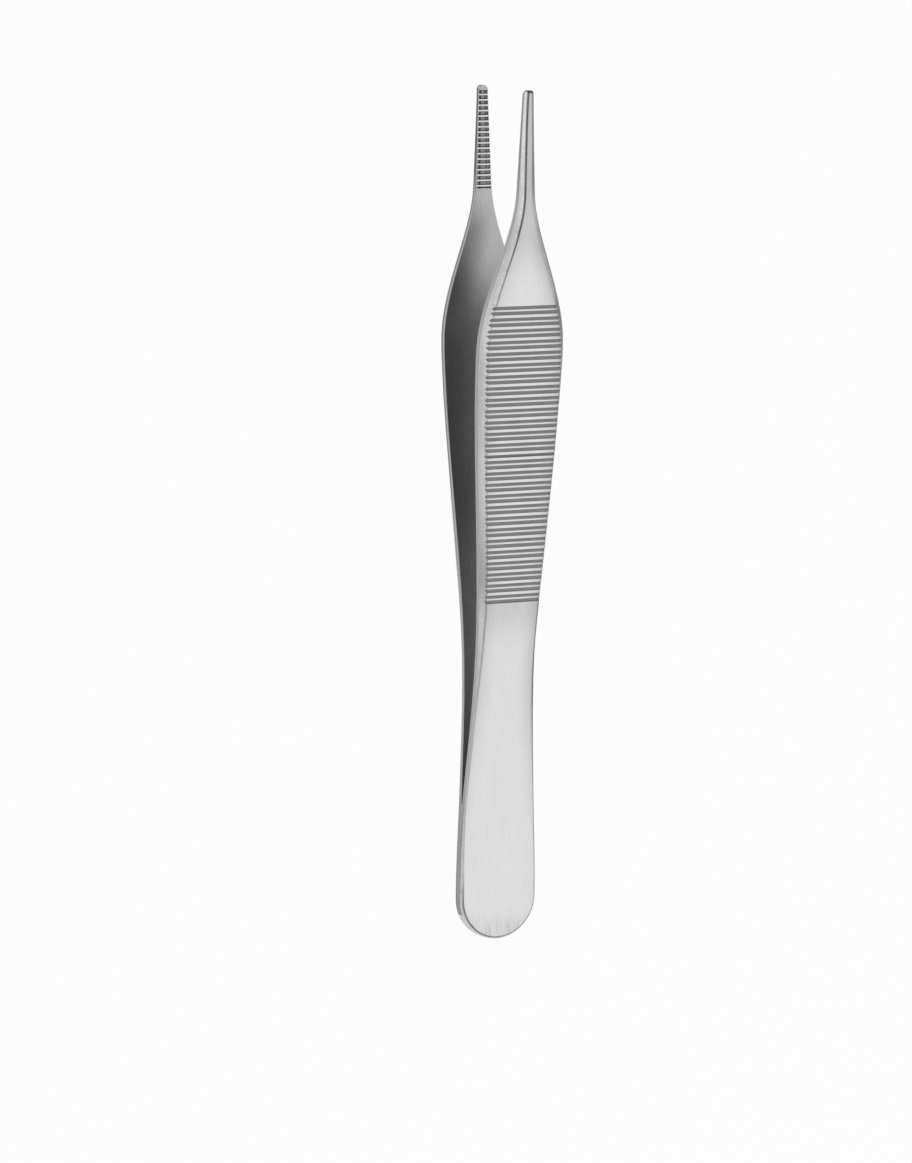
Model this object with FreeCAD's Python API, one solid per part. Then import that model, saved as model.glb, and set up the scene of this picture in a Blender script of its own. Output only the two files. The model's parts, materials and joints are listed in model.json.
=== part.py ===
# Thumb forceps. Two sprung blades are welded face to face at a rounded heel and open into
# broad ribbed grips and slim jaws with cross teeth. The blades close by bending, with no hinge.
#
# Each blade is drawn in the instrument's own frame: Y runs from the heel to the tips, X across
# the blade, and Z outward from the weld plane, which lies midway between the blades. Then both
# are laid on the table as the real one comes to rest, on the heel and the lower blade's grip.
# All lengths are in millimetres and all angles in radians.
import FreeCAD, Part
import math
import os

# Lengths along the instrument, from the heel end
overall_length = 120.0
weld_length = 19.6
heel_even_to = 7.0
spring_from = 20.0
spring_to = 32.0
waist_at = 41.0
grip_even_from = 56.0
grip_even_to = 76.0
widest_at = 84.0
bevel_widest_at = 92.0
bend_at = 96.0
jaw_root_at = 106.0

# Widths across the blade
heel_width = 11.9
waist_width = 9.05
grip_width = 13.1
jaw_root_width = 2.45
tip_width = 1.45

# Thickness of one blade
heel_thickness = 1.22
spring_thickness = 0.98
grip_thickness = 2.3
shoulder_thickness = 1.72
tip_thickness = 1.02

# Side wall of one blade, from its inner face up to the bevel
heel_wall = 0.64
shoulder_wall = 1.02
tip_wall = 0.5

# Width of the bevel that runs along each long edge of the outer face
heel_bevel = 0.3
spring_bevel = 0.16
grip_bevel = 0.6
shoulder_bevel = 0.95
tip_bevel = 0.4

# Opening between the blades, as half the gap at each place
slit_half_gap = 0.12
bend_half_gap = 5.62
tip_half_gap = 6.56
arm_bow = 0.05
weld_bend_length = 8.0

# Cross ribs on the outer face of the grip
first_rib_at = 49.1
rib_count = 52
rib_pitch = 0.796
end_valley = 0.6
wide_rib = 0.4
narrow_rib = 0.26
narrow_rib_drop = 0.1
rib_wall_depth = 0.26
rib_wall_run = 0.1
rib_valley_depth = 0.42

# Cross teeth on the inner face of the jaw
tooth_count = 19
tooth_pitch = 0.7465
end_land = 0.67
tooth_gap = 0.52
last_tooth_gap = 0.24
tooth_depth = 0.2
tooth_wall_run = 0.1
tooth_rim = 0.08

# Rounded end of the jaw
tip_corner_radius = 0.66
tip_nose = 0.38

# Working values for building the solids
section_spacing = 3.0
loft_degree = 8
rest_probe_spacing = 0.5
overrun = 2.0
clear_height = 0.6


def ease(at, start, end, from_value, to_value):
    """A value that goes from one size to the next along a stretch, level at both ends."""
    share = min(max((at - start) / (end - start), 0.0), 1.0)
    return from_value + (to_value - from_value) * share * share * (3.0 - 2.0 * share)


def graded(at, stops):
    """A value eased between (place, size) stops, and level before the first and after the last."""
    for (start, from_value), (end, to_value) in zip(stops, stops[1:]):
        if at <= end:
            return ease(at, start, end, from_value, to_value)
    return stops[-1][1]


def jaw_width(at):
    """The jaw's straight taper, which starts at the jaw root and ends at the tip."""
    taper = (jaw_root_width - tip_width) / (overall_length - jaw_root_at)
    return tip_width + taper * (overall_length - at)


def blade_width(at):
    """Full width at the inner face."""
    if at <= widest_at:
        return graded(at, ((heel_even_to, heel_width), (waist_at, waist_width), (widest_at, grip_width)))
    return ease(at, widest_at, jaw_root_at, grip_width, jaw_width(at))


def blade_thickness(at):
    return graded(at, (
        (heel_even_to, heel_thickness),
        (spring_from, spring_thickness),
        (spring_to, spring_thickness),
        (grip_even_from, grip_thickness),
        (grip_even_to, grip_thickness),
        (bend_at, shoulder_thickness),
        (overall_length, tip_thickness),
    ))


def wall_height(at):
    return graded(at, ((spring_to, heel_wall), (bend_at, shoulder_wall), (overall_length, tip_wall)))


def bevel_width(at):
    return graded(at, (
        (heel_even_to, heel_bevel),
        (spring_from, spring_bevel),
        (grip_even_from, grip_bevel),
        (bevel_widest_at, shoulder_bevel),
        (overall_length, tip_bevel),
    ))


def half_gap(at):
    """Height of the inner face above the weld plane."""
    if at <= weld_length:
        return 0.0
    if at <= bend_at:
        share = (at - weld_length) / (bend_at - weld_length)
        chord = slit_half_gap + (bend_half_gap - slit_half_gap) * share
        return chord + 4.0 * arm_bow * share * (1.0 - share)
    rise = (tip_half_gap - bend_half_gap) / (overall_length - bend_at)
    return bend_half_gap + rise * (at - bend_at)


def arm_rise(at):
    """The half gap averaged over the weld bend, so that the outer face turns outward smoothly."""
    shares = (-0.5, -0.25, 0.0, 0.25, 0.5)
    return sum(half_gap(at + share * weld_bend_length) for share in shares) / len(shares)


def outer_height(at):
    """Height of the outer face above the weld plane."""
    return arm_rise(at) + blade_thickness(at)


def prism_across(points, reach):
    """A solid across the blade, from an outline of (along, height) points."""
    corners = [FreeCAD.Vector(-reach, along, height) for along, height in points]
    outline = Part.makePolygon(corners + corners[:1])
    return Part.Face(outline).extrude(FreeCAD.Vector(2.0 * reach, 0.0, 0.0))


def blade_section(at):
    """The blade's six-sided section, carried down past the inner face."""
    half_width = blade_width(at) / 2
    face_half_width = half_width - bevel_width(at)
    top = outer_height(at)
    wall_top = arm_rise(at) + wall_height(at)
    corners = [
        FreeCAD.Vector(-half_width, at, -overrun),
        FreeCAD.Vector(-half_width, at, wall_top),
        FreeCAD.Vector(-face_half_width, at, top),
        FreeCAD.Vector(face_half_width, at, top),
        FreeCAD.Vector(half_width, at, wall_top),
        FreeCAD.Vector(half_width, at, -overrun),
    ]
    return Part.makePolygon(corners + corners[:1])


def bevelled_bar():
    """The outer form, a little longer than the blade: an even heel with a flat outer face, then a
    smooth loft through evenly spaced sections."""
    heel_end = FreeCAD.Vector(0.0, -heel_even_to - overrun, 0.0)
    heel = Part.Face(blade_section(heel_even_to)).extrude(heel_end)
    lofted_length = overall_length + overrun - heel_even_to
    spans = math.ceil(lofted_length / section_spacing)
    sections = [blade_section(heel_even_to + lofted_length * index / spans) for index in range(spans + 1)]
    return heel.fuse(Part.makeLoft(sections, True, False, False, loft_degree))


def space_between():
    """What lies inside the inner face: under the weld plane at the heel, then the widening gap."""
    past_tip = overall_length + 2.0 * overrun
    floor = -2.0 * overrun
    reach = grip_width
    middle = (weld_length + bend_at) / 2
    outline = [
        FreeCAD.Vector(-reach, -2.0 * overrun, floor),
        FreeCAD.Vector(-reach, -2.0 * overrun, 0.0),
        FreeCAD.Vector(-reach, weld_length, 0.0),
        FreeCAD.Vector(-reach, weld_length, slit_half_gap),
        FreeCAD.Vector(-reach, bend_at, bend_half_gap),
        FreeCAD.Vector(-reach, past_tip, half_gap(past_tip)),
        FreeCAD.Vector(-reach, past_tip, floor),
    ]
    bow = Part.Arc(outline[3], FreeCAD.Vector(-reach, middle, half_gap(middle)), outline[4])
    edges = [Part.LineSegment(outline[i], outline[i + 1]).toShape() for i in (0, 1, 2, 4, 5)]
    edges.insert(3, bow.toShape())
    edges.append(Part.LineSegment(outline[6], outline[0]).toShape())
    return Part.Face(Part.Wire(edges)).extrude(FreeCAD.Vector(2.0 * reach, 0.0, 0.0))


def heel_waste():
    """What is taken off to round the heel end, with its bevel carried round as a cone."""
    radius = heel_width / 2
    bevel_drop = heel_thickness - heel_wall
    rise = 2.0 * bevel_drop
    centre = FreeCAD.Vector(0.0, radius, 0.0)
    block = Part.makeBox(2.0 * heel_width, radius + 2.0 * overrun, 2.0 * overrun + heel_wall + rise)
    block.translate(FreeCAD.Vector(-heel_width, -2.0 * overrun, -2.0 * overrun))
    drum = Part.makeCylinder(radius, 2.0 * overrun + heel_wall, centre - FreeCAD.Vector(0.0, 0.0, 2.0 * overrun))
    cone_radius = radius - heel_bevel * rise / bevel_drop
    cone = Part.makeCone(radius, cone_radius, rise, centre + FreeCAD.Vector(0.0, 0.0, heel_wall))
    return block.cut([drum, cone])


def tip_waste():
    """What is taken off to square the jaw's end, round its two corners and bevel its outer edge."""
    half_width = blade_width(overall_length - tip_corner_radius) / 2
    start = overall_length - tip_corner_radius
    top = outer_height(overall_length) + 2.0 * overrun
    block = Part.makeBox(2.0 * grip_width, 3.0 * overrun, top)
    block.translate(FreeCAD.Vector(-grip_width, start, 0.0))
    core = Part.makeBox(2.0 * (half_width - tip_corner_radius), tip_corner_radius, top)
    core.translate(FreeCAD.Vector(tip_corner_radius - half_width, start, 0.0))
    rounds = [
        Part.makeCylinder(tip_corner_radius, top, FreeCAD.Vector(side * (half_width - tip_corner_radius), start, 0.0))
        for side in (-1.0, 1.0)
    ]
    nose_top = outer_height(overall_length)
    nose = prism_across([
        (overall_length - tip_nose, nose_top),
        (overall_length, nose_top - tip_nose),
        (overall_length + overrun, nose_top - tip_nose),
        (overall_length + overrun, nose_top + overrun),
        (overall_length - tip_nose, nose_top + overrun),
    ], grip_width)
    return [block.cut([core] + rounds), nose]


def rib_is_narrow(index):
    """Counted from either end of the grip, every other rib is narrow."""
    return min(index, rib_count + 1 - index) % 2 == 1


def rib_edge(index, side):
    """Place along the blade of a rib's edge: side -1 faces the heel and 1 faces the tips. The
    plain face on each side of the ribs counts as one more rib."""
    centre = first_rib_at + (index - 1) * rib_pitch
    if index == 0:
        return first_rib_at - end_valley
    if index > rib_count:
        return centre - rib_pitch + end_valley
    return centre + side * (narrow_rib if rib_is_narrow(index) else wide_rib) / 2


def rib_valley(start, end, narrow=None):
    """One milled valley across the grip, from one rib's edge to the next. A narrow rib may
    stand in it, with its crest a little lower than the wide ribs."""
    foot = rib_wall_run
    profile = [(start + foot, rib_valley_depth), (end - foot, rib_valley_depth)]
    if narrow is not None:
        ridge_start = rib_edge(narrow, -1)
        ridge_end = rib_edge(narrow, 1)
        profile = [
            (start + foot, rib_wall_depth),
            (ridge_start - foot, rib_valley_depth),
            (ridge_start, narrow_rib_drop),
            (ridge_end, narrow_rib_drop),
            (ridge_end + foot, rib_valley_depth),
            (end - foot, rib_wall_depth),
        ]
    profile = [(start, -clear_height), (start, 0.0)] + profile + [(end, 0.0), (end, -clear_height)]
    middle = (start + end) / 2
    slope = math.atan2(outer_height(end) - outer_height(start), end - start)
    placed = []
    for along, depth in profile:
        offset = along - middle
        placed.append((
            middle + offset * math.cos(slope) + depth * math.sin(slope),
            outer_height(middle) + offset * math.sin(slope) - depth * math.cos(slope),
        ))
    return prism_across(placed, grip_width)


def rib_valleys():
    """Every valley of the grip. The space between two wide ribs is one plain valley."""
    valleys = []
    for index in range(1, rib_count + 1):
        if rib_is_narrow(index):
            valleys.append(rib_valley(rib_edge(index - 1, 1), rib_edge(index + 1, -1), index))
    for index in range(rib_count + 1):
        bounded_by_narrow = [rib_is_narrow(edge) for edge in (index, index + 1) if 0 < edge <= rib_count]
        if not any(bounded_by_narrow):
            valleys.append(rib_valley(rib_edge(index, 1), rib_edge(index + 1, -1)))
    return valleys


def tooth_gaps(shift):
    """The pressed gaps between the teeth, which leave a rim along each side of the jaw. A shift of
    half a pitch lets one jaw's teeth enter the other's gaps. The last gap is cut short."""
    gaps = []
    for index in range(tooth_count):
        end = overall_length - end_land - shift - index * tooth_pitch
        start = end - (last_tooth_gap if index == tooth_count - 1 else tooth_gap)
        face = half_gap((start + end) / 2)
        gaps.append(prism_across([
            (start, face - clear_height),
            (start, face),
            (start + tooth_wall_run, face + tooth_depth),
            (end - tooth_wall_run, face + tooth_depth),
            (end, face),
            (end, face - clear_height),
        ], blade_width(end) / 2 - tooth_rim))
    return gaps


def ribbed_blade():
    """A whole blade but for its teeth."""
    blade = bevelled_bar().cut([space_between(), heel_waste()] + tip_waste())
    return blade.cut(rib_valleys())


def resting_angle():
    """Tilt of the weld plane when the heel and the lower blade's grip touch the table."""
    probes = math.ceil((overall_length - weld_length) / rest_probe_spacing)
    places = [weld_length + rest_probe_spacing * index for index in range(1, probes)]
    return max(math.atan2(outer_height(at) - heel_thickness, at - heel_bevel) for at in places)


def laid_on_table(blades):
    """Turns the blades to their resting tilt and centres them on the origin, standing on Z = 0."""
    tilt = math.degrees(resting_angle())
    for blade in blades:
        blade.rotate(FreeCAD.Vector(0.0, 0.0, 0.0), FreeCAD.Vector(1.0, 0.0, 0.0), tilt)
    extents = [blade.optimalBoundingBox(False, False) for blade in blades]
    middle = (min(box.YMin for box in extents) + max(box.YMax for box in extents)) / 2
    lowest = min(box.ZMin for box in extents)
    for blade in blades:
        blade.translate(FreeCAD.Vector(0.0, -middle, -lowest))
    return blades


def make_blades():
    plain = ribbed_blade()
    upper = plain.cut(tooth_gaps(tooth_pitch / 2))
    lower = plain.cut(tooth_gaps(0.0))
    lower = lower.mirror(FreeCAD.Vector(0.0, 0.0, 0.0), FreeCAD.Vector(0.0, 0.0, 1.0))
    return laid_on_table([upper, lower])


os.makedirs("parts", exist_ok=True)
for name, shape in zip(("upper_blade", "lower_blade"), make_blades()):
    shape.exportStep(f"parts/{name}.step")
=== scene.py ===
import json
import math

import bmesh
import bpy
import numpy as np
from bpy.props import FloatProperty, FloatVectorProperty, IntProperty, PointerProperty
from mathutils import Matrix, Vector


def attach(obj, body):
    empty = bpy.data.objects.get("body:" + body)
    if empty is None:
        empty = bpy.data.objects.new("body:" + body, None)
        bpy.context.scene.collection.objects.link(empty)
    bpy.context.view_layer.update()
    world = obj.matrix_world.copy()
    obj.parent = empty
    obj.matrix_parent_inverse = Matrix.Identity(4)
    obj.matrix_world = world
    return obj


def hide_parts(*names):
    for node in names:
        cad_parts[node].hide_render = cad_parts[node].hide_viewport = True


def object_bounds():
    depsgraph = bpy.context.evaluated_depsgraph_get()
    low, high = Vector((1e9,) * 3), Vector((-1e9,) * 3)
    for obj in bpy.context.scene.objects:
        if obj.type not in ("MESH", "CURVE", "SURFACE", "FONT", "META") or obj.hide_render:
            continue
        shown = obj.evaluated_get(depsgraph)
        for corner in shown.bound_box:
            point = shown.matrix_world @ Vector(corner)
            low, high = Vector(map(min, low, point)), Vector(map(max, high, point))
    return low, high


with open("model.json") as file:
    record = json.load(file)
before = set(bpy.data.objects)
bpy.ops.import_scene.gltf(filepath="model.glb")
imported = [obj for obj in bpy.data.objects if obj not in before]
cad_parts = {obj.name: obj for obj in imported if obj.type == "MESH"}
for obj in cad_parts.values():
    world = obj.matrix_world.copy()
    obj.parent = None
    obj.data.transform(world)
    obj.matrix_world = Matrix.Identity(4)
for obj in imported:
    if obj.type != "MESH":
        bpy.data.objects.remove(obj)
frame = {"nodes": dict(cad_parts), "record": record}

# A pair of thumb forceps in satin steel. The two blades are softened at their edges and given
# greys that differ from face to face, mostly painted light and shade, and they lie on a plain pale
# floor.

bl_info = {
    "name": "Thumb forceps",
    "version": (1, 0, 0),
    "blender": (4, 5, 0),
    "location": "3D View > Sidebar > Forceps",
    "description": "Dresses the blades of a pair of thumb forceps and sets the stage for them",
    "category": "Object",
}

# The size of the finished picture in pixels
PICTURE_WIDTH = 912
PICTURE_HEIGHT = 1163

# The nearest distance that the camera sees, in metres
NEAR_CLIP = 0.01

# Metres in a millimetre, and millimetres in a centimetre
MM = 0.001
MM_IN_CM = 10.0

# The instrument's length and the radius of its rounded heel, in millimetres
LENGTH = 120.0
HEEL_RADIUS = 5.95

# Where the ribs, the teeth and the blunt end lie, in millimetres from the heel end
RIB_ZONE = (48.3, 90.5)
TOOTH_ZONE = (104.5, 119.5)
END_FROM = 118.5

# Stretches in which long faces are cut across, as start, end and step in millimetres
STATIONS = ((0.5, 7.0, 0.75), (8.5, 48.0, 4.0), (91.0, 120.0, 1.0))

# The least length in metres of a face that is cut at the stations
LONG_FACE = 1.0 * MM

# Corners this near to a cut lie on it, and corners this near to each other are one, in metres
ON_CUT = 0.05 * MM
SAME_CORNER = 0.002 * MM

# The least distance in millimetres between the points of a line along the blade
LEAST_STEP = 0.05

# What tells a face's kind: the sideways part of its normal
LEVEL_BELOW = 0.1
RIDGE_BEVEL_ABOVE = 0.2
BEVEL_ABOVE = 0.25
WALL_ABOVE = 0.93

# The outward part of its normal
FACING_OUT_ABOVE = 0.9
CUT_ABOVE = 0.2
BEVEL_OUT_ABOVE = 0.1
TURNED_IN_BELOW = 0.3
INNER_BELOW = -0.3
FACING_IN_BELOW = -0.95

# And the part along the blade
STEEP_ABOVE = 0.5
END_ABOVE = 0.35

# How high the faces in a tooth gap lie above the inner face, and how far the width is looked for
# on each side of a place, in millimetres
GAP_HEIGHTS = (0.03, 0.3)
WIDTH_REACH = 0.6

# The least drop of a valley's floor below the ridge, and the least height of a valley's faces
# above the inner face, in millimetres
VALLEY_DROP = 0.2
VALLEY_HEIGHT = 0.6

# Directions from the instrument to the lamps
RIGHT_LAMP = (0.47, -0.26, 0.85)
LEFT_LAMP = (-0.85, 0.10, 0.45)

# Painted light and shade along the blade, as (share of the length, level) stops: painted shade on
# the inner face, painted light and shade on the bevels, and the strength of the painted dark lines
# along the left and right ridges
INNER_TONE = ((0.28, 1.0), (0.42, 0.72), (0.52, 0.54), (0.60, 0.50), (0.68, 0.44), (0.74, 0.43))
BEVEL_TONE = (
    (0.0, 0.75), (0.20, 0.62), (0.32, 0.80), (0.39, 0.73), (0.43, 0.49), (0.54, 0.76),
    (0.71, 0.88), (0.79, 0.97), (0.83, 0.84), (0.865, 0.95), (0.915, 0.95), (0.98, 1.0))
LEFT_LINE = (
    (0.0, 0.85), (0.04, 0.7), (0.07, 0.2), (0.085, 0.0), (0.28, 0.0), (0.36, 0.4),
    (0.40, 0.5), (0.41, 0.12), (0.745, 0.15), (0.755, 0.6), (0.79, 0.7), (0.83, 1.0))
RIGHT_LINE = ((0.26, 0.6), (0.30, 0.85), (0.40, 0.85), (0.41, 0.2), (0.86, 0.15), (0.90, 0.6))

# Half the blade's width at the shoulder in centimetres, against the share of the length
HALF_WIDTH = ((0.733, 0.61), (0.783, 0.443), (0.833, 0.237), (0.883, 0.122))

CAD_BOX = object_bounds()


# The instrument's own frame


def mount_named(name):
    """The record's mount of that name."""
    for mount in frame["record"]["mounts"]:
        if mount["name"] == name:
            return mount
    raise ValueError(f"the record has no mount named {name}")


def instrument_axes():
    """Across, along and outward directions of the weld plane, and a point on that plane."""
    upper = mount_named("heel_face_upper")
    lower = mount_named("heel_face_lower")
    outward = Vector(upper["axis"]).normalized()
    across = Vector((1.0, 0.0, 0.0))
    along = outward.cross(across).normalized()
    on_plane = (Vector(upper["pos_m"]) + Vector(lower["pos_m"])) / 2
    return across, along, outward, on_plane


ACROSS, ALONG, OUTWARD, ON_WELD_PLANE = instrument_axes()
HEEL_END = min(
    vertex.co.dot(ALONG) for node in frame["nodes"].values() for vertex in node.data.vertices
)


def instrument_places(points, side):
    """Each point's place across, along from the heel end, and outward on its own side, in mm.
    A side of 1 is the upper blade's and -1 the lower blade's."""
    across = points @ np.array(ACROSS)
    along = points @ np.array(ALONG) - HEEL_END
    outward = side * (points - np.array(ON_WELD_PLANE)) @ np.array(OUTWARD)
    return np.stack((across, along, outward), axis=1) / MM


def instrument_parts(directions, side):
    """Each direction's across, along and outward parts, with outward on the blade's own side."""
    return directions @ np.array((ACROSS, ALONG, OUTWARD * side)).T


def middle_point(along):
    """The point on the weld plane's middle line at that distance from the heel end, in metres."""
    return ON_WELD_PLANE + ALONG * (HEEL_END - ON_WELD_PLANE.dot(ALONG)) + ALONG * along


# Settings that a user would change


class ForcepsEdges(bpy.types.PropertyGroup):
    softening: FloatProperty(
        name="Edge softening", description="How far each sharp edge is rounded back",
        default=0.03 * MM, min=0.0, unit="LENGTH", precision=6)
    segments: IntProperty(
        name="Segments", description="Facets across each rounded edge", default=2, min=1, max=6)
    sharp_above: FloatProperty(
        name="Sharp above", description="Edges that turn by more than this are rounded",
        default=math.radians(18.0), subtype="ANGLE")


class ForcepsSteel(bpy.types.PropertyGroup):
    face_colour: FloatVectorProperty(
        name="Outer face", description="Satin steel of the outer faces",
        subtype="COLOR", default=(0.74, 0.74, 0.74), min=0.0, max=1.0)
    # Painted shade: the jaws' outer faces are darker, where less light falls on them
    jaw_colour: FloatVectorProperty(
        name="Jaw", description="Steel of the jaws' outer faces",
        subtype="COLOR", default=(0.55, 0.55, 0.55), min=0.0, max=1.0)
    bevel_colour: FloatVectorProperty(
        name="Bevels", description="Grainy steel of the long bevels",
        subtype="COLOR", default=(0.75, 0.75, 0.75), min=0.0, max=1.0)
    wall_colour: FloatVectorProperty(
        name="Side walls", description="Ground steel of the narrow sides",
        subtype="COLOR", default=(0.40, 0.40, 0.40), min=0.0, max=1.0)
    # Painted shade: the inner faces are darkened for the shade between the two blades, not for their
    # polish
    inner_colour: FloatVectorProperty(
        name="Inner face", description="Unpolished steel between the blades, darker towards the grips",
        subtype="COLOR", default=(0.72, 0.72, 0.72), min=0.0, max=1.0)
    inner_jaw_colour: FloatVectorProperty(
        name="Inner jaw", description="Steel of the jaws' inner faces",
        subtype="COLOR", default=(0.47, 0.47, 0.47), min=0.0, max=1.0)
    # The valleys' dark greys are partly a matte finish and partly painted shade in the recesses between
    # the ribs
    valley_floor_colour: FloatVectorProperty(
        name="Valley floors", description="Matte floors of the valleys between the ribs",
        subtype="COLOR", default=(0.28, 0.28, 0.28), min=0.0, max=1.0)
    valley_wall_colour: FloatVectorProperty(
        name="Valley walls", description="Steep sides of the ribs",
        subtype="COLOR", default=(0.53, 0.53, 0.53), min=0.0, max=1.0)
    # Painted shade: the gaps between the teeth are darker for the shade in these recesses
    tooth_gap_colour: FloatVectorProperty(
        name="Tooth gaps", description="Floors of the gaps between the teeth",
        subtype="COLOR", default=(0.36, 0.36, 0.36), min=0.0, max=1.0)
    roughness: FloatProperty(
        name="Roughness", description="Roughness of the satin faces", default=0.34, min=0.0, max=1.0)


class ForcepsView(bpy.types.PropertyGroup):
    lean_to_side: FloatProperty(
        name="Lean to the side", description="Turn of the view about the instrument's length",
        default=math.radians(27.43), subtype="ANGLE")
    lean_to_tips: FloatProperty(
        name="Lean to the tips", description="Tilt of the view from square on towards the tips",
        default=math.radians(8.25), subtype="ANGLE")
    roll: FloatProperty(
        name="Roll", description="Turn of the picture", default=math.radians(-0.64), subtype="ANGLE")
    distance: FloatProperty(
        name="Distance", description="From the camera to the instrument's middle",
        default=0.768, unit="LENGTH")
    scale: FloatProperty(
        name="Pixels per metre", description="Picture scale at the instrument's middle", default=7145.1)
    middle_x: FloatProperty(
        name="Middle across", description="Pixel column of the instrument's middle", default=499.8)
    middle_y: FloatProperty(
        name="Middle down", description="Pixel row of the instrument's middle", default=517.19)
    aim_along: FloatProperty(
        name="Aim", description="Distance of the instrument's middle from the heel end",
        default=60.0 * MM, unit="LENGTH")


class ForcepsLight(bpy.types.PropertyGroup):
    room_level: FloatProperty(
        name="Room level", description="Brightness of the room around the lamps", default=0.32, min=0.0)
    floor_whiteness: FloatProperty(
        name="Floor whiteness", description="Share of the floor that stays white under a shadow",
        default=0.96, min=0.0, max=1.0)
    lamp_distance: FloatProperty(
        name="Lamp distance", description="From the instrument to each lamp",
        default=0.7, unit="LENGTH")
    key_level: FloatProperty(
        name="Right lamp", description="Brightness of the large lamp on the right",
        default=0.74, min=0.0)
    key_size: FloatProperty(
        name="Right lamp's size", description="Side of the large lamp on the right",
        default=0.8, unit="LENGTH")
    fill_level: FloatProperty(
        name="Left lamp", description="Brightness of the lamp on the left", default=0.66, min=0.0)
    fill_size: FloatProperty(
        name="Left lamp's size", description="Side of the lamp on the left", default=0.6, unit="LENGTH")
    floor_size: FloatProperty(
        name="Floor size", description="Side of the floor", default=8.0, unit="LENGTH")


class ForcepsSettings(bpy.types.PropertyGroup):
    edges: PointerProperty(type=ForcepsEdges)
    steel: PointerProperty(type=ForcepsSteel)
    view: PointerProperty(type=ForcepsView)
    light: PointerProperty(type=ForcepsLight)


# Shader maths


class Value:
    """A number socket that Python's operators join with Math nodes."""

    def __init__(self, nodes, socket):
        self.nodes = nodes
        self.socket = socket

    def join(self, operation, *others):
        return self.nodes.number("ShaderNodeMath", {"operation": operation}, self, *others)

    def __add__(self, other):
        return self.join("ADD", other)

    def __radd__(self, other):
        return self.join("ADD", other)

    def __sub__(self, other):
        return self.join("SUBTRACT", other)

    def __rsub__(self, other):
        return self.nodes.number("ShaderNodeMath", {"operation": "SUBTRACT"}, other, self)

    def __mul__(self, other):
        return self.join("MULTIPLY", other)

    def __rmul__(self, other):
        return self.join("MULTIPLY", other)

    def __truediv__(self, other):
        return self.join("DIVIDE", other)

    def __abs__(self):
        return self.join("ABSOLUTE")


class Nodes:
    """Adds nodes to one tree."""

    def __init__(self, tree):
        self.tree = tree
        tree.nodes.clear()

    def add(self, kind, settings=None, **inputs):
        """A node of that kind. Its settings come first, then the values or links of its sockets."""
        node = self.tree.nodes.new(kind)
        for name, value in (settings or {}).items():
            if name == "stops":
                self.set_stops(node, value)
            else:
                setattr(node, name, value)
        for name, value in inputs.items():
            self.feed(node.inputs[name.replace("_", " ")], value)
        return node

    def feed(self, socket, value):
        if isinstance(value, Value):
            value = value.socket
        if isinstance(value, bpy.types.NodeSocket):
            self.tree.links.new(value, socket)
        else:
            socket.default_value = value

    def set_stops(self, node, stops):
        elements = node.color_ramp.elements
        while len(elements) < len(stops):
            elements.new(0.5)
        for element, (position, level) in zip(elements, stops):
            element.position = position
            element.color = (level, level, level, 1.0)

    def number(self, kind, settings, *values):
        """The first output of a node whose sockets take these values in order."""
        node = self.add(kind, settings)
        for socket, value in zip(node.inputs, values):
            self.feed(socket, value)
        return Value(self, node.outputs[0])

    def attribute(self, name):
        return self.add("ShaderNodeAttribute", {"attribute_type": "GEOMETRY", "attribute_name": name})

    def level(self, name):
        return Value(self, self.attribute(name).outputs["Fac"])

    def between(self, value, start, end):
        """Goes smoothly from 0 at start to 1 at end."""
        node = self.add("ShaderNodeMapRange", {"interpolation_type": "SMOOTHSTEP"})
        for name, number in (("Value", value), ("From Min", start), ("From Max", end)):
            self.feed(node.inputs[name], number)
        return Value(self, node.outputs["Result"])

    def falling(self, value, start, end):
        """Goes smoothly from 1 at start to 0 at end."""
        return 1.0 - self.between(value, start, end)

    def band(self, value, start, full, fading, end):
        """Rises smoothly from 0 at start to 1 at full, and falls from fading to 0 at end."""
        return self.between(value, start, full) * self.falling(value, fading, end)

    def stretched(self, vector, scale):
        """Places with each axis scaled, so that a pattern is finer along one axis than another."""
        node = self.add("ShaderNodeVectorMath", {"operation": "MULTIPLY"})
        self.feed(node.inputs[0], vector)
        self.feed(node.inputs[1], scale)
        return node.outputs["Vector"]

    def noise(self, vector, scale, detail=2.0, roughness=0.5):
        """Even noise from 0 to 1, finer where the scale of the axis is larger."""
        node = self.add("ShaderNodeTexNoise", Vector=self.stretched(vector, scale), Scale=1.0,
                        Detail=detail, Roughness=roughness)
        return Value(self, node.outputs["Fac"])

    def blend(self, factor, first, second):
        """The first colour where the factor is 0 and the second where it is 1."""
        node = self.add("ShaderNodeMix", {"data_type": "RGBA", "clamp_factor": True})
        self.feed(node.inputs["Factor"], factor)
        for socket, colour in zip([s for s in node.inputs if s.type == "RGBA"], (first, second)):
            self.feed(socket, colour)
        return [s for s in node.outputs if s.type == "RGBA"][0]

    def blend_numbers(self, factor, first, second):
        """The first number where the factor is 0 and the second where it is 1."""
        return first * (1.0 - factor) + second * factor

    def ramp(self, value, stops):
        """A grey that goes through the stops, which are (place, level) pairs."""
        node = self.add("ShaderNodeValToRGB", {"stops": stops}, Fac=value)
        return Value(self, node.outputs["Color"])

    def shaded(self, colour, amount):
        """The colour times a number."""
        node = self.add("ShaderNodeVectorMath", {"operation": "SCALE"})
        self.feed(node.inputs[0], colour if isinstance(colour, bpy.types.NodeSocket) else colour[:3])
        self.feed(node.inputs["Scale"], amount)
        return node.outputs["Vector"]


def opaque(colour):
    return (*colour, 1.0)


# Satin steel


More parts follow.
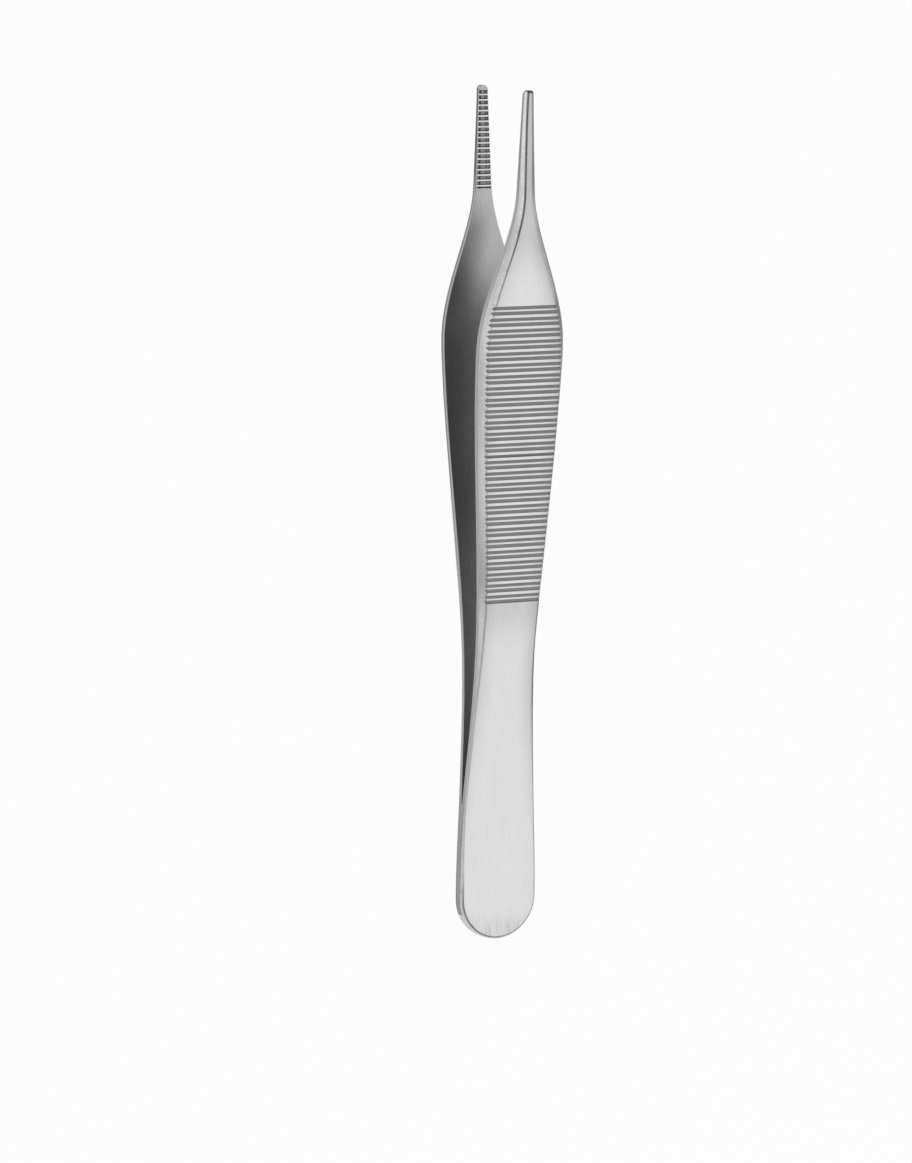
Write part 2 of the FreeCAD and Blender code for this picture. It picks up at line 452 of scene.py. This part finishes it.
def outer_colour(nodes, settings, along, across, from_ridge):
    """Satin steel with painted shade: darker at the jaw, where less light falls, and shading off beside
    the ridges.
    """
    jaw = nodes.between(along, 92.0, 106.0)
    colour = nodes.blend(jaw, opaque(settings.face_colour), opaque(settings.jaw_colour))
    on_right = nodes.between(across, 0.0, 0.1)
    inward = nodes.between(from_ridge, 0.0, 2.6)
    shading_off = 0.09 + 0.08 * on_right - (0.05 + 0.05 * on_right) * inward
    shading_off = shading_off * (1.6 - 0.6 * nodes.between(from_ridge, 0.0, 0.9))
    shading_off = shading_off * nodes.falling(along, 98.0, 103.0)
    shading_off = shading_off * (0.2 + 0.8 * nodes.between(along, 12.0, 35.0))
    return nodes.shaded(colour, 1.0 - shading_off * nodes.falling(from_ridge, 0.6, 3.0))


def inner_colour(nodes, settings, along, across):
    """Steel between the blades, darkened towards the grip by painted shade. The teeth are brighter
    with painted highlights, and the shoulder has a painted shadow on its left."""
    tone = nodes.ramp(along / LENGTH, INNER_TONE)
    spring = nodes.shaded(opaque(settings.inner_colour), tone)
    towards_jaw = nodes.between(along, 84.0, 101.0)
    colour = nodes.blend(towards_jaw, spring, opaque(settings.inner_jaw_colour))
    from_left = across + nodes.ramp(along / LENGTH, HALF_WIDTH) * MM_IN_CM
    left_shadow = nodes.falling(from_left, 0.1, 4.5) * nodes.band(along, 86.0, 92.0, 99.0, 105.0)
    at_teeth = nodes.band(along, 105.6, 105.7, 119.3, 119.4)
    from_side = nodes.level("half_width") - abs(across)
    crest_highlight = at_teeth * nodes.between(from_side, 0.02, 0.12)
    return nodes.shaded(colour, 1.0 - 0.45 * left_shadow + 0.18 * at_teeth + 0.4 * crest_highlight)


def bevel_colour(nodes, settings, along, across, from_ridge):
    """Grainy steel with painted light and shade: levels along the blade, brighter beside the ridge,
    and a painted shade on the bevel on the right, less so at the shoulder.
    """
    tone = nodes.ramp(along / LENGTH, BEVEL_TONE)
    tone = tone * (1.12 - 0.2 * nodes.between(from_ridge, 0.15, 0.7))
    at_shoulder = nodes.band(along, 89.0, 93.0, 103.0, 108.0)
    shoulder_tone = 0.71 - 0.31 * nodes.between(from_ridge, 0.0, 0.8)
    right_shade = nodes.blend_numbers(at_shoulder, 0.24, shoulder_tone)
    side_shade = nodes.blend_numbers(nodes.between(across, 0.0, 0.3), 1.0, right_shade)
    return nodes.shaded(opaque(settings.bevel_colour), tone * side_shade)


def wall_colour(nodes, settings, along):
    """Ground steel with painted light and shade: a painted highlight line along each blade's narrow
    side, darker walls on the lower blade, and darker at the jaw and at the heel.
    """
    lower = nodes.level("lower_side")
    above_inner = nodes.level("above_inner")
    at_jaw = nodes.between(along, 104.0, 109.0)
    upper_highlight = nodes.band(above_inner, 0.0, 0.05, 0.15, 0.3)
    upper_tone = 0.92 + 0.14 * upper_highlight - 0.3 * at_jaw
    lower_highlight = nodes.band(above_inner, 0.08, 0.2, 0.45, 0.62)
    lower_tone = 0.5 + 0.55 * lower_highlight * (1.0 - at_jaw) - 0.22 * at_jaw
    tone = nodes.blend_numbers(lower, upper_tone, lower_tone)
    heel_tone = (0.66 - 0.02 * lower) * (0.8 + 0.2 * nodes.between(along, 2.0, 8.0))
    tone = nodes.blend_numbers(nodes.between(along, 14.0, 26.0), heel_tone, tone)
    return nodes.shaded(opaque(settings.wall_colour), tone)


def steel_colour(nodes, settings, along, across, from_ridge):
    """Each kind of surface in its own grey, with painted light and shade: the tones that run along the
    blade, painted shade in the tooth gaps and in part in the valleys, valley faces brighter the more
    they face the tips, and painted shade on the end faces.
    """
    facing_tips = nodes.level("facing_tips")
    # Painted light: the valley faces are brighter the more they face the tips
    floor = nodes.shaded(opaque(settings.valley_floor_colour), 1.0 + 2.2 * facing_tips)
    wall = nodes.shaded(opaque(settings.valley_wall_colour), 1.0 + 0.5 * facing_tips)
    colour = outer_colour(nodes, settings, along, across, from_ridge)
    for kind, own_colour in (
            ("inner_face", inner_colour(nodes, settings, along, across)),
            ("bevel_face", bevel_colour(nodes, settings, along, across, from_ridge)),
            ("wall_face", wall_colour(nodes, settings, along)),
            ("valley_floor", floor),
            ("valley_wall", wall),
            ("tooth_gap", opaque(settings.tooth_gap_colour))):
        colour = nodes.blend(nodes.level(kind), colour, own_colour)
    # Painted shade: the blunt end faces are darkened by half
    return nodes.shaded(colour, 1.0 - 0.5 * nodes.level("end_face"))


def distance_from_ridge(nodes, along, across):
    """How far a point lies from the line where the outer face meets its bevel, in millimetres.
    At the heel that line is an arc."""
    from_side = abs(abs(across) - nodes.level("face_edge")) * nodes.level("edge_turn")
    past_centre = along - HEEL_RADIUS
    from_centre = (across * across + past_centre * past_centre).join("SQRT")
    from_arc = abs(from_centre - nodes.level("heel_face_radius"))
    return nodes.blend_numbers(nodes.between(past_centre, -0.2, 0.2), from_arc, from_side)


def ridge_line(nodes, along, across, from_ridge):
    """The thin dark line of painted shade along each ridge. It is wider on the right."""
    at_jaw = nodes.between(along, 96.0, 104.0)
    left = nodes.falling(from_ridge - 0.03 * at_jaw, 0.04, 0.17)
    left = left * nodes.ramp(along / LENGTH, LEFT_LINE)
    right = nodes.falling(from_ridge, 0.08, 0.24) * nodes.ramp(along / LENGTH, RIGHT_LINE)
    return nodes.blend_numbers(nodes.between(across, -0.1, 0.1), left, right)


def steel_material(settings):
    """Steel whose colour and grain follow the piece's own attributes. Places and heights there
    are in millimetres, and the kinds of surface are 0 or 1."""
    # Its colour holds painted light and shade as well as the steel's own grain and streaks
    material = bpy.data.materials.new("satin_steel_painted_light_and_shade")
    material.use_nodes = True
    nodes = Nodes(material.node_tree)
    place = nodes.attribute("place").outputs["Vector"]
    parts = nodes.add("ShaderNodeSeparateXYZ", Vector=place)
    across = Value(nodes, parts.outputs["X"])
    along = Value(nodes, parts.outputs["Y"])
    from_ridge = distance_from_ridge(nodes, along, across)
    colour = steel_colour(nodes, settings, along, across, from_ridge)
    inner = nodes.level("inner_face")
    bevel = nodes.level("bevel_face")
    wall = nodes.level("wall_face")
    outer = (1.0 - bevel) * (1.0 - wall) * (1.0 - inner)
    valley = nodes.level("valley_floor") + nodes.level("valley_wall") + nodes.level("tooth_gap")

    streaks = nodes.noise(place, (9.0, 0.22, 9.0), detail=3.0, roughness=0.6)
    fine_streaks = nodes.noise(place, (26.0, 0.5, 26.0))
    clouds = nodes.noise(place, (0.35, 0.12, 0.35), detail=1.0)
    grain = nodes.noise(place, (4.0, 4.0, 4.0), detail=3.0, roughness=0.7)
    broad_streaks = nodes.noise(place, (3.0, 0.15, 3.0))
    heel_streaks = nodes.noise(place, (2.6, 0.35, 2.6), detail=3.0)

    streaking = (streaks - 0.5) * 0.22 + (fine_streaks - 0.5) * 0.14 + (clouds - 0.5) * 0.08
    streaking = streaking * (1.0 + 1.4 * inner)
    graininess = (grain - 0.5) * 0.8 * bevel
    below_ribs = nodes.band(along, 42.0, 48.4, 48.5, 48.8) * (0.6 + 0.8 * broad_streaks) * outer
    at_heel = nodes.falling(along, 0.0, 5.0)
    at_heel = at_heel * (0.2 + 0.8 * nodes.between(heel_streaks, 0.42, 0.68)) * outer
    # The dark lines along the ridges are painted shade
    line = ridge_line(nodes, along, across, from_ridge) * (1.0 - inner) * (1.0 - wall)
    shade = 1.0 + streaking + graininess - 0.16 * below_ribs - 0.24 * at_heel
    colour = nodes.shaded(colour, shade * (1.0 - 0.78 * line))

    roughness = settings.roughness + (streaks - 0.5) * 0.08 + 0.2 * valley
    height = fine_streaks * 0.5 + streaks * 0.5 + grain * bevel * 0.8
    bump = nodes.add("ShaderNodeBump", Strength=0.12, Distance=0.02 * MM, Height=height)
    surface = nodes.add(
        "ShaderNodeBsdfPrincipled", Base_Color=colour, Metallic=1.0, Roughness=roughness,
        Normal=bump.outputs["Normal"])
    nodes.add("ShaderNodeOutputMaterial", Surface=surface.outputs["BSDF"])
    return material


# The blades


def face_normals(mesh_data, side):
    """Each face's normal as across, along and outward parts."""
    return instrument_parts(np.array([face.normal for face in mesh_data.faces]), side)


def height_of(line, along):
    """The outward height of a line along the blade at those places."""
    return np.interp(along, line[:, 1], line[:, 2])


def within(span, values):
    """Marks the values that lie between the span's two ends."""
    return (values > span[0]) & (values < span[1])


def read_vectors(items, name):
    """A vector of each of a mesh's items, one to a row."""
    values = np.zeros(len(items) * 3)
    items.foreach_get(name, values)
    return values.reshape(-1, 3)


def corner_line(points, above, reach=1.0, step=0.1):
    """The highest points along the blade, or the lowest where above is -1, sorted from the heel.
    A point is left out where one within reach stands clear of it by the step, or where it all
    but meets the point before it."""
    points = np.unique(np.round(points, 3), axis=0)
    kept = []
    for point in points:
        near = points[np.abs(points[:, 1] - point[1]) < reach]
        if np.all(above * (near[:, 2] - point[2]) < step):
            kept.append(point)
    kept = np.array(kept)
    kept = kept[np.argsort(kept[:, 1])]
    apart = np.concatenate(([True], np.diff(kept[:, 1]) > LEAST_STEP))
    return kept[apart]


def blade_lines(mesh_data, side):
    """The line where the outer face meets the bevel, and the height of the inner face."""
    places = instrument_places(np.array([v.co for v in mesh_data.verts]), side)
    normals = face_normals(mesh_data, side)
    ridge = []
    inner = []
    for vertex in mesh_data.verts:
        around = normals[[face.index for face in vertex.link_faces]]
        sideways = np.abs(around[:, 0])
        outward = around[:, 2]
        on_outer_face = np.any((outward > FACING_OUT_ABOVE) & (sideways < LEVEL_BELOW))
        on_bevel = np.any((sideways > RIDGE_BEVEL_ABOVE) & (outward > BEVEL_OUT_ABOVE))
        if on_outer_face and on_bevel:
            ridge.append(places[vertex.index])
        if np.any(outward < FACING_IN_BELOW):
            inner.append(places[vertex.index])
    return corner_line(np.abs(np.array(ridge)), 1.0), corner_line(np.array(inner), -1.0)


def in_tooth_gaps(middles, normals, inner_line):
    """Marks the faces that line the gaps between the teeth."""
    height = middles[:, 2] - height_of(inner_line, middles[:, 1])
    turned_in = (normals[:, 2] < TURNED_IN_BELOW) & (normals[:, 0] * middles[:, 0] < 0.02)
    return within(TOOTH_ZONE, middles[:, 1]) & turned_in & within(GAP_HEIGHTS, height)


def mark_shading(mesh_data, edges, inner_line, side):
    """Weighs the edges that get rounded, and leaves those at the teeth sharp. The level faces of
    the ribs, the teeth and the inside are shaded flat."""
    mesh_data.normal_update()
    mesh_data.faces.index_update()
    middles = np.array([face.calc_center_median() for face in mesh_data.faces])
    middles = instrument_places(middles, side)
    normals = face_normals(mesh_data, side)
    in_gap = in_tooth_gaps(middles, normals, inner_line)
    level = np.abs(normals[:, 0]) < LEVEL_BELOW
    at_ribs = within(RIB_ZONE, middles[:, 1])
    flat = in_gap | (level & (at_ribs | (normals[:, 2] < TURNED_IN_BELOW)))
    for face in mesh_data.faces:
        face.smooth = not flat[face.index]
    weight = mesh_data.edges.layers.float.new("bevel_weight_edge")
    for edge in mesh_data.edges:
        if edge.calc_face_angle(0.0) > edges.sharp_above:
            at_tooth = any(in_gap[face.index] for face in edge.link_faces)
            edge.smooth = not at_tooth
            edge[weight] = 0.0 if at_tooth else 1.0


def cut_at_stations(mesh_data, side):
    """Cuts the long outer faces across at even steps, so that what is written at their corners
    holds between them too."""
    for start, end, step in STATIONS:
        for at in np.arange(start, end, step):
            faces = []
            for face in mesh_data.faces:
                if face.normal.dot(OUTWARD) * side < CUT_ABOVE:
                    continue
                spans = [vertex.co.dot(ALONG) for vertex in face.verts]
                if max(spans) - min(spans) > LONG_FACE:
                    faces.append(face)
            edges = {edge for face in faces for edge in face.edges}
            verts = {vertex for face in faces for vertex in face.verts}
            bmesh.ops.bisect_plane(
                mesh_data, geom=[*verts, *edges, *faces], dist=ON_CUT,
                plane_co=middle_point(at * MM), plane_no=ALONG)


def softened(mesh, edges):
    """The mesh with its weighed edges rounded back a little, still inside the solids' box. Its
    large faces keep their normals and the rounded edges blend from one to the next."""
    holder = bpy.data.objects.new("softening", mesh)
    bpy.context.scene.collection.objects.link(holder)
    rounding = holder.modifiers.new("rounding", "BEVEL")
    rounding.limit_method = "WEIGHT"
    rounding.width = edges.softening
    rounding.segments = edges.segments
    rounding.use_clamp_overlap = False
    blending = holder.modifiers.new("blending", "WEIGHTED_NORMAL")
    blending.mode = "FACE_AREA"
    blending.keep_sharp = True
    evaluated = holder.evaluated_get(bpy.context.evaluated_depsgraph_get())
    rounded = bpy.data.meshes.new_from_object(evaluated)
    bpy.data.objects.remove(holder)
    points = np.clip(read_vectors(rounded.vertices, "co"), CAD_BOX[0], CAD_BOX[1])
    rounded.vertices.foreach_set("co", points.ravel())
    return rounded


def write_attribute(mesh, name, kind, domain, values):
    layer = mesh.attributes.new(name, kind, domain)
    key = "vector" if kind == "FLOAT_VECTOR" else "value"
    layer.data.foreach_set(key, np.ascontiguousarray(values, np.float32).ravel())


def describe_surface(mesh, ridge, inner_line, side):
    """Gives the mesh the attributes that its steel reads."""
    places = instrument_places(read_vectors(mesh.vertices, "co"), side)
    middles = instrument_places(read_vectors(mesh.polygons, "center"), side)
    normals = instrument_parts(read_vectors(mesh.polygons, "normal"), side)
    sideways = np.abs(normals[:, 0])
    steep = np.abs(normals[:, 1]) > STEEP_ABOVE
    below_ridge = height_of(ridge, middles[:, 1]) - middles[:, 2]
    above_floor = middles[:, 2] > height_of(inner_line, middles[:, 1]) + VALLEY_HEIGHT
    in_valley = within(RIB_ZONE, middles[:, 1]) & (sideways < BEVEL_ABOVE) & above_floor
    in_valley = in_valley & (steep | (below_ridge > VALLEY_DROP))
    in_gap = in_tooth_gaps(middles, normals, inner_line)
    at_end = (middles[:, 1] > END_FROM) & (normals[:, 1] > END_ABOVE)
    inner = (normals[:, 2] < INNER_BELOW) & ~in_gap
    wall = (sideways > WALL_ABOVE) & ~inner
    bevel = (sideways > BEVEL_ABOVE) & ~wall & ~inner
    slope = np.gradient(ridge[:, 0], ridge[:, 1])
    slope = np.interp(places[:, 1], ridge[:, 1], slope)
    from_middle = np.abs(places[:, 0])
    widths = [
        from_middle[np.abs(places[:, 1] - at) < WIDTH_REACH].max() for at in ridge[:, 1]
    ]
    heel_face_radius = ridge[ridge[:, 1] < 2.0 * HEEL_RADIUS, 0].max()
    write_attribute(mesh, "place", "FLOAT_VECTOR", "POINT", places)
    for name, values in (
            ("face_edge", np.interp(places[:, 1], ridge[:, 1], ridge[:, 0])),
            ("edge_turn", 1.0 / np.sqrt(1.0 + slope ** 2)),
            ("half_width", np.interp(places[:, 1], ridge[:, 1], widths)),
            ("heel_face_radius", np.full(len(places), heel_face_radius)),
            ("above_inner", places[:, 2] - height_of(inner_line, places[:, 1]))):
        write_attribute(mesh, name, "FLOAT", "POINT", values)
    for name, faces in (
            ("inner_face", inner), ("bevel_face", bevel), ("wall_face", wall), ("tooth_gap", in_gap),
            ("valley_wall", in_valley & steep), ("valley_floor", in_valley & ~steep),
            ("facing_tips", np.clip(normals[:, 1], 0.0, 1.0)), ("end_face", at_end & ~in_gap),
            ("lower_side", np.full(len(mesh.polygons), side < 0))):
        write_attribute(mesh, name, "FLOAT", "FACE", faces)


def finished_blade(node_name, side, settings, material):
    """Makes a copy of the solid with softened edges, which stands for it in the picture."""
    source = frame["nodes"][node_name]
    mesh_data = bmesh.new()
    mesh_data.from_mesh(source.data)
    bmesh.ops.remove_doubles(mesh_data, verts=mesh_data.verts, dist=SAME_CORNER)
    mesh_data.normal_update()
    mesh_data.faces.index_update()
    mesh_data.verts.index_update()
    ridge, inner_line = blade_lines(mesh_data, side)
    cut_at_stations(mesh_data, side)
    mark_shading(mesh_data, settings.edges, inner_line, side)
    mesh = bpy.data.meshes.new(node_name + "_finished")
    mesh_data.to_mesh(mesh)
    mesh_data.free()
    mesh = softened(mesh, settings.edges)
    describe_surface(mesh, ridge, inner_line, side)
    mesh.materials.clear()
    mesh.materials.append(material)
    piece = bpy.data.objects.new(node_name + "_finished", mesh)
    bpy.context.scene.collection.objects.link(piece)
    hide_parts(node_name)
    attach(piece, "root")


class FORCEPS_OT_blades(bpy.types.Operator):
    """Makes both blades from their solids, with softened edges and satin steel"""
    bl_idname = "forceps.blades"
    bl_label = "Make the blades"

    def execute(self, context):
        settings = context.scene.forceps
        material = steel_material(settings.steel)
        finished_blade("upper_blade", 1, settings, material)
        finished_blade("lower_blade", -1, settings, material)
        return {"FINISHED"}


# The stage


def floor_material(light):
    """A white floor that still takes a soft shadow."""
    material = bpy.data.materials.new("floor_white")
    material.use_nodes = True
    nodes = Nodes(material.node_tree)
    path = nodes.add("ShaderNodeLightPath")
    seen = Value(nodes, path.outputs["Is Camera Ray"]) + Value(nodes, path.outputs["Is Glossy Ray"])
    seen = seen + Value(nodes, path.outputs["Is Transmission Ray"])
    matte = nodes.add("ShaderNodeBsdfDiffuse", Color=(0.9, 0.9, 0.9, 1.0))
    white = nodes.add("ShaderNodeEmission", Color=(1.0, 1.0, 1.0, 1.0), Strength=1.0)
    mixed = nodes.add("ShaderNodeMixShader")
    nodes.feed(mixed.inputs[0], seen * light.floor_whiteness)
    nodes.feed(mixed.inputs[1], matte.outputs["BSDF"])
    nodes.feed(mixed.inputs[2], white.outputs["Emission"])
    nodes.add("ShaderNodeOutputMaterial", Surface=mixed.outputs["Shader"])
    return material


def add_floor(light):
    half = light.floor_size / 2
    mesh = bpy.data.meshes.new("floor")
    corners = [(-half, -half, 0.0), (half, -half, 0.0), (half, half, 0.0), (-half, half, 0.0)]
    mesh.from_pydata(corners, [], [(0, 1, 2, 3)])
    mesh.materials.append(floor_material(light))
    floor = bpy.data.objects.new("floor", mesh)
    bpy.context.scene.collection.objects.link(floor)


def add_lamp(name, direction, distance, size, level):
    """A square lamp that faces the instrument. A level of 1 looks white in a mirror."""
    lamp = bpy.data.lights.new(name, "AREA")
    lamp.shape = "SQUARE"
    lamp.size = size
    lamp.energy = level * math.pi * size * size
    holder = bpy.data.objects.new(name, lamp)
    facing = Vector(direction).normalized()
    holder.location = facing * distance
    holder.rotation_euler = facing.to_track_quat("Z", "Y").to_euler()
    bpy.context.scene.collection.objects.link(holder)


def add_room(light):
    world = bpy.data.worlds.new("room")
    world.use_nodes = True
    nodes = Nodes(world.node_tree)
    level = (light.room_level, light.room_level, light.room_level, 1.0)
    background = nodes.add("ShaderNodeBackground", Color=level, Strength=1.0)
    nodes.add("ShaderNodeOutputWorld", Surface=background.outputs["Background"])
    bpy.context.scene.world = world


def add_camera(view):
    """The camera that shows the instrument as the photograph does."""
    lean = math.cos(view.lean_to_tips)
    rise = math.sin(view.lean_to_tips)
    turn_cos = math.cos(view.lean_to_side)
    turn_sin = math.sin(view.lean_to_side)
    back = ACROSS * (-turn_sin * lean) + ALONG * rise + OUTWARD * (turn_cos * lean)
    right = ACROSS * turn_cos + OUTWARD * turn_sin
    up = ACROSS * (turn_sin * rise) + ALONG * lean - OUTWARD * (turn_cos * rise)
    rolled_right = right * math.cos(view.roll) - up * math.sin(view.roll)
    rolled_up = right * math.sin(view.roll) + up * math.cos(view.roll)
    shift_right = (view.middle_x - PICTURE_WIDTH / 2) / view.scale
    shift_up = -(view.middle_y - PICTURE_HEIGHT / 2) / view.scale
    aim = middle_point(view.aim_along)
    place = aim + back * view.distance - rolled_right * shift_right - rolled_up * shift_up
    camera = bpy.data.cameras.new("camera")
    camera.sensor_fit = "VERTICAL"
    camera.lens = view.scale * view.distance / PICTURE_HEIGHT * camera.sensor_height
    camera.clip_start = NEAR_CLIP
    holder = bpy.data.objects.new("camera", camera)
    rotation = Matrix((rolled_right, rolled_up, back)).transposed()
    holder.matrix_world = Matrix.Translation(place) @ rotation.to_4x4()
    bpy.context.scene.collection.objects.link(holder)
    bpy.context.scene.camera = holder


class FORCEPS_OT_stage(bpy.types.Operator):
    """Sets the floor, the lamps, the room and the camera"""
    bl_idname = "forceps.stage"
    bl_label = "Set the stage"

    def execute(self, context):
        settings = context.scene.forceps
        light = settings.light
        add_floor(light)
        add_room(light)
        reach = light.lamp_distance
        add_lamp("right_lamp", RIGHT_LAMP, reach, light.key_size, light.key_level)
        add_lamp("left_lamp", LEFT_LAMP, reach, light.fill_size, light.fill_level)
        add_camera(settings.view)
        context.scene.view_settings.view_transform = "Standard"
        return {"FINISHED"}


class FORCEPS_PT_panel(bpy.types.Panel):
    """Lists the forceps' operators and settings"""
    bl_idname = "FORCEPS_PT_panel"
    bl_label = "Thumb forceps"
    bl_space_type = "VIEW_3D"
    bl_region_type = "UI"
    bl_category = "Forceps"

    def draw(self, context):
        settings = context.scene.forceps
        for operator in OPERATORS:
            self.layout.operator(operator.bl_idname)
        for group in (settings.edges, settings.steel, settings.view, settings.light):
            box = self.layout.box()
            for name in group.__annotations__:
                box.prop(group, name)


OPERATORS = (FORCEPS_OT_stage, FORCEPS_OT_blades)
CLASSES = (
    ForcepsEdges, ForcepsSteel, ForcepsView, ForcepsLight, ForcepsSettings,
    *OPERATORS, FORCEPS_PT_panel,
)


def register():
    for each in CLASSES:
        bpy.utils.register_class(each)
    bpy.types.Scene.forceps = PointerProperty(type=ForcepsSettings)


def unregister():
    del bpy.types.Scene.forceps
    for each in reversed(CLASSES):
        bpy.utils.unregister_class(each)


def main():
    register()
    bpy.ops.forceps.stage()
    bpy.ops.forceps.blades()


if __name__ == "__main__":
    main()
